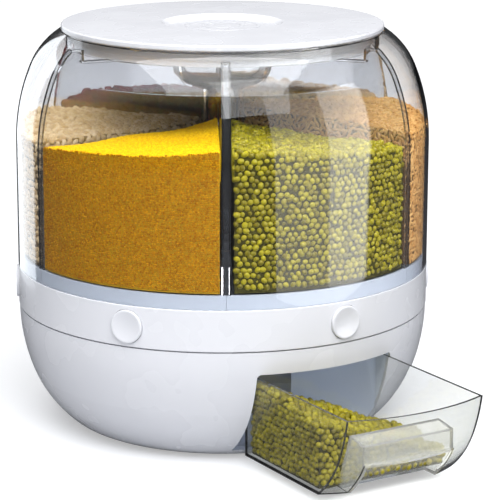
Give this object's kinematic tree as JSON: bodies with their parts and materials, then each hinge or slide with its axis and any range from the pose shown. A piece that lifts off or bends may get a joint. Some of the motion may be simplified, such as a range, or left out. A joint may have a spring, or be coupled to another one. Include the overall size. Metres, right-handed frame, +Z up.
{
  "type": "rotating cereal dispenser",
  "caption": "Round countertop dispenser for dry food: clear compartments on a turntable over a base with a pull-out drawer; a push button opens each compartment's gate.",
  "frame": {"origin": "middle of the base's underside, on the surface it stands on", "axes": "+Z up along the turning axis; the drawer pulls out along -Y; +X to the right seen from the drawer"},
  "size_m": [0.3, 0.4075, 0.292],
  "materials": {
    "white_plastic": "moulded ABS, glossy cool white",
    "clear_plastic": "clear moulded plastic",
    "inner_plastic": "moulded acetal",
    "steel": "zinc plated",
    "silicone": "translucent silicone",
    "rubber": "soft rubber"
  },
  "bodies": {
    "base": {"base_shell": "white_plastic", "bottom_plate": "white_plastic", "rubber_foot": "rubber", "base_deck": "white_plastic", "drawer_tunnel": "white_plastic", "outlet_funnel": "white_plastic", "spindle": "inner_plastic", "spindle_washer": "steel", "spindle_screw": "steel", "base_screws": "steel"},
    "bearing": {"ball_cage": "inner_plastic", "bearing_balls": "steel"},
    "turntable": {"turntable_ring": "white_plastic", "hopper_hub": "white_plastic", "gate_carrier": "white_plastic", "carrier_screws": "steel", "dome_shell": "clear_plastic", "center_column": "clear_plastic", "column_head": "clear_plastic", "hopper_1": "white_plastic", "hopper_2": "white_plastic", "hopper_3": "white_plastic", "hopper_4": "white_plastic", "hopper_5": "white_plastic", "hopper_6": "white_plastic", "divider_1": "clear_plastic", "divider_2": "clear_plastic", "divider_3": "clear_plastic", "divider_4": "clear_plastic", "divider_5": "clear_plastic", "divider_6": "clear_plastic", "spring_1": "steel", "spring_2": "steel", "spring_3": "steel", "spring_4": "steel", "spring_5": "steel", "spring_6": "steel"},
    "drawer": {"drawer_tray": "clear_plastic", "finger_grip": "clear_plastic"},
    "lid": {"lid": "white_plastic", "lid_gasket": "silicone"},
    "button_1_body": {"button_1": "white_plastic", "gate_1": "inner_plastic"},
    "button_2_body": {"button_2": "white_plastic", "gate_2": "inner_plastic"},
    "button_3_body": {"button_3": "white_plastic", "gate_3": "inner_plastic"},
    "button_4_body": {"button_4": "white_plastic", "gate_4": "inner_plastic"},
    "button_5_body": {"button_5": "white_plastic", "gate_5": "inner_plastic"},
    "button_6_body": {"button_6": "white_plastic", "gate_6": "inner_plastic"}
  },
  "joints": [
    {"name": "turntable_spin", "type": "hinge", "parent": "base", "child": "turntable", "pos_m": [0, 0, 0.1], "axis": [0, 0, 1], "continuous": true},
    {"name": "bearing_roll", "type": "hinge", "parent": "base", "child": "bearing", "pos_m": [0, 0, 0.08], "axis": [0, 0, 1], "continuous": true},
    {"name": "drawer_slide", "type": "slide", "parent": "base", "child": "drawer", "axis": [0, 1, 0], "range_m": [0, 0.109]},
    {"name": "lid_lift", "type": "slide", "parent": "turntable", "child": "lid", "axis": [0, 0, 1], "range_m": [0, 0.08]},
    {"name": "button_1_press", "type": "slide", "parent": "turntable", "child": "button_1_body", "axis": [-0.0558, 0.9984, 0], "range_m": [0, 0.0115], "stiffness_N_per_m": 300, "springref_m": -0.004, "deforming": ["spring_1"]},
    {"name": "button_2_press", "type": "slide", "parent": "turntable", "child": "button_2_body", "axis": [-0.8926, 0.4509, 0], "range_m": [0, 0.0115], "stiffness_N_per_m": 300, "springref_m": -0.004, "deforming": ["spring_2"]},
    {"name": "button_3_press", "type": "slide", "parent": "turntable", "child": "button_3_body", "axis": [-0.8368, -0.5476, 0], "range_m": [0, 0.0115], "stiffness_N_per_m": 300, "springref_m": -0.004, "deforming": ["spring_3"]},
    {"name": "button_4_press", "type": "slide", "parent": "turntable", "child": "button_4_body", "axis": [0.0558, -0.9984, 0], "range_m": [0, 0.0115], "stiffness_N_per_m": 300, "springref_m": -0.004, "deforming": ["spring_4"]},
    {"name": "button_5_press", "type": "slide", "parent": "turntable", "child": "button_5_body", "axis": [0.8926, -0.4509, 0], "range_m": [0, 0.0115], "stiffness_N_per_m": 300, "springref_m": -0.004, "deforming": ["spring_5"]},
    {"name": "button_6_press", "type": "slide", "parent": "turntable", "child": "button_6_body", "axis": [0.8368, 0.5476, 0], "range_m": [0, 0.0115], "stiffness_N_per_m": 300, "springref_m": -0.004, "deforming": ["spring_6"]}
  ],
  "couplings": [
    {"joint": "bearing_roll", "follows": "turntable_spin", "ratio": 0.5}
  ]
}
